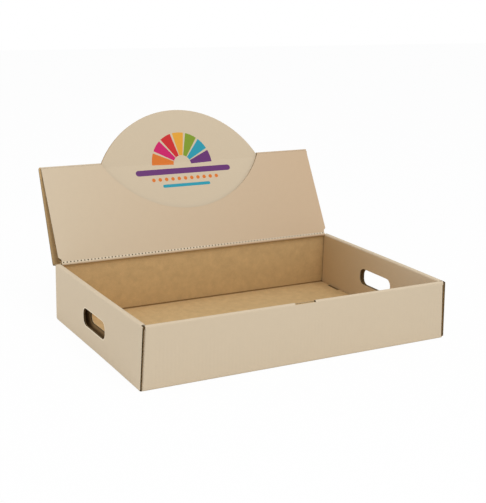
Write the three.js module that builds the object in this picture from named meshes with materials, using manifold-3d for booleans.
// Counter display box: a folded corrugated tray with hand holes and a lid that is
// doubled back into a standing header with a domed sign.
// Millimetres, +Z up. The origin is the centre of the tray's underside.
// The front wall faces -Y and the header stands over the back wall at +Y.
import * as THREE from 'three';
import { mergeVertices } from 'three/addons/utils/BufferGeometryUtils.js';
import Module from 'manifold-3d';

const wasm = await Module();
wasm.setup();

// The sheet
const board = 3;
const foldRadius = 2;
const baseFoldRadius = 3;
const slit = 0.4;
const arcSteps = 6;

// The tray
const trayWidth = 560;
const trayDepth = 368;
const wallHeight = 101;
const sideCavity = 3.4;
const frontCavity = 0.6;
const flapLength = 90;
const flapDrop = 3;
const footSlit = 0.5;
const frontTaper = 1.7;
const leftBow = 6.6;
const rightBow = 0.8;

// Hand holes, lock notch and base tabs
const handLength = 94;
const handHeight = 30;
const handCorner = 12;
const handOffset = 4;
const handCentreHeight = 48;
const notchWidth = 38;
const notchDepth = 2.6;
const tabLength = 33;
const tabOffset = 135;
const tabSink = 2.4;
const slotSlack = 0.7;

// The lid, doubled back as a header
const backWallTop = 96.5;
const hingeClearance = 0.3;
const rootSweep = 40;
const spineDroop = 13;
const rearRecline = 22.5;
const frontRecline = 30;
const rearHalfWidth = 278;
const rootHalfWidth = 276.6;
const rootReach = 3;
const frontHalfWidth = 275;
const frontFootSetIn = 8;
const foldGap = 0.2;
const frontSlope = 176.3;
const bendRadius = 5;
const footRadius = 3.4;
const tuckClearance = 0.4;
const tuckDroop = 6;
const tuckLength = 17;
const footSlack = 0.4;
const footNarrowHeight = 8;
const footChamfer = 4.8;

// The domed sign
const domeRadius = 185;
const domeHalfChord = 162;
const domeSteps = 40;
const cutWidth = 0.4;
const facingThickness = 0.5;
const facingGap = 0.3;
const facingInset = 0.4;
const facingSkirt = 10;

// Places worked out from the sizes
const halfWidth = trayWidth / 2;
const halfDepth = trayDepth / 2;
const sideWall = 2 * board + sideCavity;
const frontWall = 2 * board + frontCavity;
const sideInner = halfWidth - sideWall;
const leafEnd = halfWidth - board - slit / 2;
const rawEdge = halfDepth - slit;
const flapClearance = (sideCavity - board) / 2;
const sideFront = -halfDepth + frontWall + slit;
const sideBack = halfDepth - board - slit;
const hinge = new THREE.Vector2(halfDepth, backWallTop);
const domeDrop = Math.sqrt(domeRadius ** 2 - domeHalfChord ** 2);

const degrees = Math.PI / 180;

const linerMaterial = new THREE.MeshStandardMaterial({ color: 0xcebea4, roughness: 0.85, metalness: 0 });
const kraftMaterial = new THREE.MeshStandardMaterial({ color: 0xb8935f, roughness: 0.9, metalness: 0 });
const facingMaterial = new THREE.MeshStandardMaterial({ color: 0xd1c1a8, roughness: 0.7, metalness: 0 });

// A closed geometry becomes a solid once its shared corners are merged.
function solidOf(geometry) {
  geometry.deleteAttribute('normal');
  geometry.deleteAttribute('uv');
  const merged = mergeVertices(geometry, 1e-4);
  return new wasm.Manifold(new wasm.Mesh({
    numProp: 3,
    vertProperties: merged.attributes.position.array,
    triVerts: new Uint32Array(merged.index.array),
  }));
}

function meshOf(solid, name, material) {
  const data = solid.getMesh();
  const geometry = new THREE.BufferGeometry();
  geometry.setAttribute('position', new THREE.BufferAttribute(new Float32Array(data.vertProperties), 3));
  geometry.setIndex(new THREE.BufferAttribute(new Uint32Array(data.triVerts), 1));
  geometry.computeVertexNormals();
  const mesh = new THREE.Mesh(geometry, material);
  mesh.name = name;
  return mesh;
}

function join(solids) {
  return solids.reduce((whole, next) => whole.add(next));
}

function block(x0, x1, y0, y1, z0, z1) {
  const geometry = new THREE.BoxGeometry(x1 - x0, y1 - y0, z1 - z0);
  geometry.translate((x0 + x1) / 2, (y0 + y1) / 2, (z0 + z1) / 2);
  return solidOf(geometry);
}

function extrude(points, length) {
  return new THREE.ExtrudeGeometry(new THREE.Shape(points), { depth: length, bevelEnabled: false, steps: 1 });
}

// A section drawn in (y, z) and run along X.
function alongX(points, x0, x1) {
  const geometry = extrude(points, x1 - x0);
  geometry.applyMatrix4(new THREE.Matrix4().makeBasis(
    new THREE.Vector3(0, 1, 0), new THREE.Vector3(0, 0, 1), new THREE.Vector3(1, 0, 0)));
  geometry.translate(x0, 0, 0);
  return solidOf(geometry);
}

// A section drawn in (x, z) and run along Y.
function alongY(points, y0, y1) {
  const geometry = extrude(points, y1 - y0);
  geometry.rotateX(Math.PI / 2);
  geometry.translate(0, y1, 0);
  return solidOf(geometry);
}

// The point at a distance and an angle in degrees from a centre.
function polar(centre, radius, angle) {
  return new THREE.Vector2(
    centre.x + radius * Math.cos(angle * degrees), centre.y + radius * Math.sin(angle * degrees));
}

function arc(centre, radius, from, to, steps = arcSteps) {
  const points = [];
  for (let i = 0; i <= steps; i += 1) {
    points.push(polar(centre, radius, from + (to - from) * i / steps));
  }
  return points;
}

// An arc of the given radius that rounds a corner between two neighbours.
function rounded(before, corner, after, radius) {
  const a = before.clone().sub(corner).normalize();
  const b = after.clone().sub(corner).normalize();
  const half = Math.acos(a.dot(b)) / 2;
  const centre = a.clone().add(b).normalize().multiplyScalar(radius / Math.sin(half)).add(corner);
  const start = a.multiplyScalar(radius / Math.tan(half)).add(corner).sub(centre);
  const end = b.multiplyScalar(radius / Math.tan(half)).add(corner).sub(centre);
  const from = start.angle() / degrees;
  let turn = end.angle() / degrees - from;
  if (turn > 180) turn -= 360;
  if (turn < -180) turn += 360;
  return arc(centre, radius, from, from + turn);
}

// Where two lines meet, each given by a point and a direction.
function crossing(p, along, q, across) {
  const det = along.x * across.y - along.y * across.x;
  const gap = q.clone().sub(p);
  const t = (gap.x * across.y - gap.y * across.x) / det;
  return p.clone().addScaledVector(along, t);
}

// Front wall: an outer leaf, a narrow top and an inner leaf that hangs free of the base.
function frontWallSolid() {
  const outer = -halfDepth;
  const inner = outer + frontWall;
  const v = (y, z) => new THREE.Vector2(y, z);
  const points = [
    v(outer + board, 0),
    v(outer + board, wallHeight - board),
    v(inner - board, wallHeight - board),
    v(inner - board, board + footSlit),
    v(inner, board + footSlit),
    ...rounded(v(inner, 0), v(inner, wallHeight), v(outer, wallHeight), foldRadius),
    ...rounded(v(inner, wallHeight), v(outer, wallHeight), v(outer, 0), foldRadius),
    ...rounded(v(outer, wallHeight), v(outer, 0), v(inner, 0), baseFoldRadius),
  ];
  const wall = alongX(points, -leafEnd, leafEnd);
  const over = wallHeight + board;
  const trims = [-1, 1].map((side) => {
    const wedge = [v(side * leafEnd, 0), v(side * (leafEnd + board), 0),
      v(side * (leafEnd + board), over), v(side * (leafEnd - frontTaper), over)];
    return alongY(side > 0 ? wedge : wedge.reverse(), outer - board, outer + board);
  });
  const notch = block(-notchWidth / 2, notchWidth / 2,
    outer - board, inner + board, wallHeight - notchDepth, wallHeight + board);
  return [...trims, notch].reduce((body, cut) => body.subtract(cut), wall);
}

// Back wall: one leaf, cut low enough for the lid to fold back over it.
function backWallSolid() {
  const v = (y, z) => new THREE.Vector2(y, z);
  const points = [
    v(halfDepth - board, 0),
    ...rounded(v(halfDepth - board, 0), v(halfDepth, 0), v(halfDepth, backWallTop), baseFoldRadius),
    v(halfDepth, backWallTop),
    v(halfDepth - board, backWallTop),
  ];
  return alongX(points, -leafEnd, leafEnd);
}

// Corner flaps turn in from the ends of the front and back walls and lie inside the sides.
function cornerFlaps() {
  const flaps = [];
  for (const side of [-1, 1]) {
    const a = side * (halfWidth - board - flapClearance);
    const b = side * (halfWidth - 2 * board - flapClearance);
    const x0 = Math.min(a, b);
    const x1 = Math.max(a, b);
    const low = board + footSlit;
    flaps.push(block(x0, x1, -halfDepth + board / 2, -halfDepth + flapLength, low, wallHeight - board - flapDrop));
    flaps.push(block(x0, x1, halfDepth - flapLength, halfDepth - board / 2, low, backWallTop - flapDrop));
  }
  return flaps;
}

function handHole(side) {
  const y = handLength / 2;
  const z = handHeight / 2;
  const v = (a, b) => new THREE.Vector2(handOffset + a, handCentreHeight + b);
  const points = [
    ...rounded(v(-y, z), v(-y, -z), v(y, -z), handCorner),
    ...rounded(v(-y, -z), v(y, -z), v(y, z), handCorner),
    ...rounded(v(y, -z), v(y, z), v(-y, z), handCorner),
    ...rounded(v(y, z), v(-y, z), v(-y, -z), handCorner),
  ];
  const reach = halfWidth + board;
  const start = sideInner - leftBow - board;
  return side > 0 ? alongX(points, start, reach) : alongX(points, -reach, -start);
}

// A side wall: outer leaf up from the base, flat top, and an inner leaf that bows inwards.
function sideWallSolid(side, bow) {
  const v = (x, z) => new THREE.Vector2(side * x, z);
  const turn = (points) => (side > 0 ? points : points.reverse());
  const leaf = alongY(turn([
    v(halfWidth - board, 0),
    ...rounded(v(0, 0), v(halfWidth, 0), v(halfWidth, wallHeight), baseFoldRadius),
    ...rounded(v(halfWidth, 0), v(halfWidth, wallHeight), v(0, wallHeight), foldRadius),
    v(halfWidth - board, wallHeight),
  ]), -rawEdge, rawEdge);
  const hem = alongY(turn([
    v(sideInner, 0), v(halfWidth - board / 2, 0), v(halfWidth - board / 2, board), v(sideInner, board),
  ]), -halfDepth + board, halfDepth - board);
  const top = alongY(turn([
    v(sideInner, wallHeight - board),
    v(halfWidth - board / 2, wallHeight - board),
    v(halfWidth - board / 2, wallHeight),
    ...rounded(v(halfWidth, wallHeight), v(sideInner, wallHeight), v(sideInner, 0), foldRadius),
  ]), sideFront, sideBack);
  return join([leaf, hem, top, bowedLeaf(side, bow)]);
}

// The inner leaf is held along its top and foot, so it bows between them.
function bowedLeaf(side, bow) {
  const low = board + footSlit;
  const high = wallHeight - board / 2;
  const length = sideBack - sideFront;
  const geometry = new THREE.BoxGeometry(board, length, high - low, 1, 10, 8);
  const position = geometry.attributes.position;
  for (let i = 0; i < position.count; i += 1) {
    const along = position.getY(i) / length;
    const up = (position.getZ(i) / (high - low) + 0.5);
    const swell = bow * Math.cos(Math.PI * along) * Math.sin(Math.PI * up);
    position.setX(i, position.getX(i) - side * swell);
  }
  geometry.translate(side * (sideInner + board / 2), (sideFront + sideBack) / 2, (low + high) / 2);
  return solidOf(geometry);
}

// Tabs on the foot of each inner leaf drop into slots in the base.
function baseSlots(side) {
  const x0 = side * (sideInner - slotSlack);
  const x1 = side * (sideInner + board + slotSlack / 2);
  return [-tabOffset, tabOffset].map((y) => block(Math.min(x0, x1), Math.max(x0, x1),
    y - tabLength / 2 - slotSlack, y + tabLength / 2 + slotSlack, -board, 2 * board));
}

function baseTabs(side) {
  const x0 = side * (sideInner + slit / 2);
  const x1 = side * (sideInner + board - slit / 2);
  return [-tabOffset, tabOffset].map((y) => block(Math.min(x0, x1), Math.max(x0, x1),
    y - tabLength / 2, y + tabLength / 2, board - tabSink, 2 * board + footSlit));
}

function traySolid() {
  const base = block(-leafEnd, leafEnd, -halfDepth + board - slit, halfDepth - board + slit, 0, board);
  const sides = [sideWallSolid(-1, leftBow), sideWallSolid(1, rightBow)];
  let tray = join([base, frontWallSolid(), backWallSolid(), ...sides, ...cornerFlaps()]);
  for (const side of [-1, 1]) {
    tray = baseSlots(side).reduce((body, cut) => body.subtract(cut), tray);
    tray = join([tray, ...baseTabs(side)]);
    tray = tray.subtract(handHole(side));
  }
  return tray;
}

// Header directions in (y, z): along each leaf, and out of its rear or upper face.
const spineAlong = polar(new THREE.Vector2(), 1, -spineDroop);
const spineUp = polar(new THREE.Vector2(), 1, 90 - spineDroop);
const rearDown = polar(new THREE.Vector2(), 1, 270 - rearRecline);
const rearBehind = polar(new THREE.Vector2(), 1, -rearRecline);
const frontDown = polar(new THREE.Vector2(), 1, 270 - frontRecline);
const frontBehind = polar(new THREE.Vector2(), 1, -frontRecline);
const tuckUp = polar(new THREE.Vector2(), 1, 90 - tuckDroop);
const tuckAlong = polar(new THREE.Vector2(), 1, -tuckDroop);

// The tuck flap passes over the hinge bend, and the front leaf's face meets it at the foot.
const bendTop = board + hingeClearance;
const tuckFace = hinge.clone().addScaledVector(tuckUp, bendTop + tuckClearance);
const footPlane = new THREE.Vector2(halfDepth - frontFootSetIn, 0);
const foot = crossing(tuckFace, tuckAlong, footPlane, new THREE.Vector2(0, 1));
const foldAxis = foot.clone().addScaledVector(frontDown, -frontSlope)
  .addScaledVector(frontBehind, board + foldGap);

// Rear leaf: hinge root, narrow spine over the wall top, outer bend and the tall leaf,
// drawn as high as the dome and then trimmed to the fold and to the dome's arc.
function rearLeafSolid() {
  const gap = hingeClearance;
  const domeHeight = domeRadius - domeDrop;
  const spineTop = hinge.clone().addScaledVector(spineUp, bendTop);
  const spineUnder = hinge.clone().addScaledVector(spineUp, gap);
  const rearFace = foldAxis.clone().addScaledVector(rearBehind, foldGap);
  const rearBack = rearFace.clone().addScaledVector(rearBehind, board);
  const crotch = crossing(spineTop, spineAlong, rearFace, rearDown);
  const heel = crossing(spineUnder, spineAlong, rearBack, rearDown);
  const topFace = rearFace.clone().addScaledVector(rearDown, -domeHeight - board);
  const topBack = rearBack.clone().addScaledVector(rearDown, -domeHeight - board);
  const start = 90 - spineDroop;
  const points = [
    ...arc(hinge, gap, start, start + rootSweep, 2),
    ...arc(hinge, bendTop, start + rootSweep, start),
    crotch,
    topFace,
    topBack,
    ...rounded(topBack, heel, spineUnder, bendRadius),
  ].reverse();
  const sheet = alongX(points, -rearHalfWidth, rearHalfWidth);
  const wide = rearHalfWidth + board;
  const v = (x, up) => new THREE.Vector2(x, up);
  const outside = [v(wide, -foldGap), v(wide, domeHeight + 2 * board), v(-wide, domeHeight + 2 * board),
    v(-wide, -foldGap), v(-domeHalfWidth(-foldGap, 0), -foldGap), ...domeArc(0).reverse(),
    v(domeHalfWidth(-foldGap, 0), -foldGap)];
  const cutter = headerCutter(outside, rearFace, rearBehind, rearRecline);
  const reach = bendTop + rootReach;
  const trims = [-1, 1].map((side) => {
    const ends = [side * rootHalfWidth, side * (rearHalfWidth + board)];
    return block(Math.min(...ends), Math.max(...ends),
      hinge.x - reach, hinge.x + rootReach, hinge.y - reach, hinge.y + reach);
  });
  return [cutter, ...trims].reduce((body, cut) => body.subtract(cut), sheet);
}

// The half chord of the dome's arc at a height above the fold, for an inset edge.
function domeHalfWidth(height, inset) {
  return Math.sqrt((domeRadius - inset) ** 2 - (domeDrop + height) ** 2);
}

// The arc above the fold as points from right to left.
function domeArc(inset) {
  const start = Math.asin(domeDrop / (domeRadius - inset)) / degrees;
  return arc(new THREE.Vector2(0, -domeDrop), domeRadius - inset, start, 180 - start, domeSteps);
}

// A plate drawn in (across, up the leaf) on a leaf leaning back by an angle.
function inHeaderPlane(points, thickness, recline) {
  const geometry = extrude(points, thickness);
  geometry.translate(0, 0, -thickness);
  geometry.rotateX(Math.PI / 2 - recline * degrees);
  return solidOf(geometry);
}

// A cutter that passes right through a leaf whose face lies on the origin line.
function headerCutter(points, origin, behind, recline) {
  const start = origin.clone().addScaledVector(behind, -board);
  return inHeaderPlane(points, 3 * board, recline).translate([0, start.x, start.y]);
}

// The lens-shaped printed facing on the sign: it covers the dome, and below the fold it
// runs a little deeper than the notch, so that its edge hides behind the front leaf.
function facingSolid() {
  const lift = foldAxis.clone().addScaledVector(rearBehind, foldGap - facingGap - facingThickness);
  const upper = domeArc(facingInset);
  const tip = upper[0].x;
  const sag = domeRadius - domeDrop + facingSkirt;
  const radius = (tip ** 2 + sag ** 2) / (2 * sag);
  const half = Math.asin(tip / radius) / degrees;
  const lower = arc(new THREE.Vector2(0, radius - sag), radius, 270 - half, 270 + half, domeSteps);
  const points = [...upper, ...lower.slice(1, -1)];
  return inHeaderPlane(points, facingThickness, rearRecline).translate([0, lift.x, lift.y]);
}

// Front leaf: a plain face with the dome's notch, and a tuck flap folded back at its foot.
function frontLeafSolid() {
  const rearFace = foldAxis.clone().addScaledVector(frontBehind, -foldGap);
  const frontFace = rearFace.clone().addScaledVector(frontBehind, -board);
  const topRear = rearFace.clone().addScaledVector(frontDown, foldGap);
  const topFront = frontFace.clone().addScaledVector(frontDown, foldGap);
  const tuckTop = tuckFace.clone().addScaledVector(tuckUp, board);
  const crotch = crossing(tuckTop, tuckAlong, rearFace, frontDown);
  const tipUnder = foot.clone().addScaledVector(tuckAlong, tuckLength);
  const tipTop = tipUnder.clone().addScaledVector(tuckUp, board);
  const points = [
    topRear,
    ...rounded(topRear, topFront, foot, foldRadius),
    ...rounded(topFront, foot, tipUnder, footRadius),
    tipUnder,
    tipTop,
    crotch,
  ];
  const leaf = alongX(points, -frontHalfWidth, frontHalfWidth);
  const notch = mirroredNotch(frontFace);
  return [notch, ...footTrims()].reduce((body, cut) => body.subtract(cut), leaf);
}

// The dome is cut out of the front leaf, so the notch is its mirror image below the fold.
function mirroredNotch(frontFace) {
  const over = 2 * foldRadius;
  const right = domeHalfWidth(0, -cutWidth);
  const shape = [new THREE.Vector2(-right, -over), new THREE.Vector2(right, -over), ...domeArc(-cutWidth)];
  const mirrored = shape.map((p) => new THREE.Vector2(p.x, -p.y)).reverse();
  return headerCutter(mirrored, frontFace, frontBehind, frontRecline);
}

// The foot and tuck flap are narrowed to pass between the side walls.
function footTrims() {
  const narrow = sideInner - footSlack;
  const low = -2 * board - tuckLength;
  const wide = frontHalfWidth + board;
  const high = footNarrowHeight + footChamfer + (wide - frontHalfWidth);
  return [-1, 1].map((side) => {
    const v = (x, s) => new THREE.Vector2(side * x, s);
    const points = [v(narrow, low), v(wide, low), v(wide, high), v(narrow, footNarrowHeight)];
    const plate = inHeaderPlane(side > 0 ? points : points.reverse(), 3 * tuckLength, frontRecline);
    const start = foot.clone().addScaledVector(frontBehind, -board);
    return plate.translate([0, start.x, start.y]);
  });
}

const displayBox = new THREE.Group();
displayBox.add(meshOf(traySolid(), 'tray', kraftMaterial));
displayBox.add(meshOf(rearLeafSolid(), 'rear_leaf', kraftMaterial));
displayBox.add(meshOf(frontLeafSolid(), 'front_leaf', linerMaterial));
displayBox.add(meshOf(facingSolid(), 'printed_facing', facingMaterial));

export default displayBox;
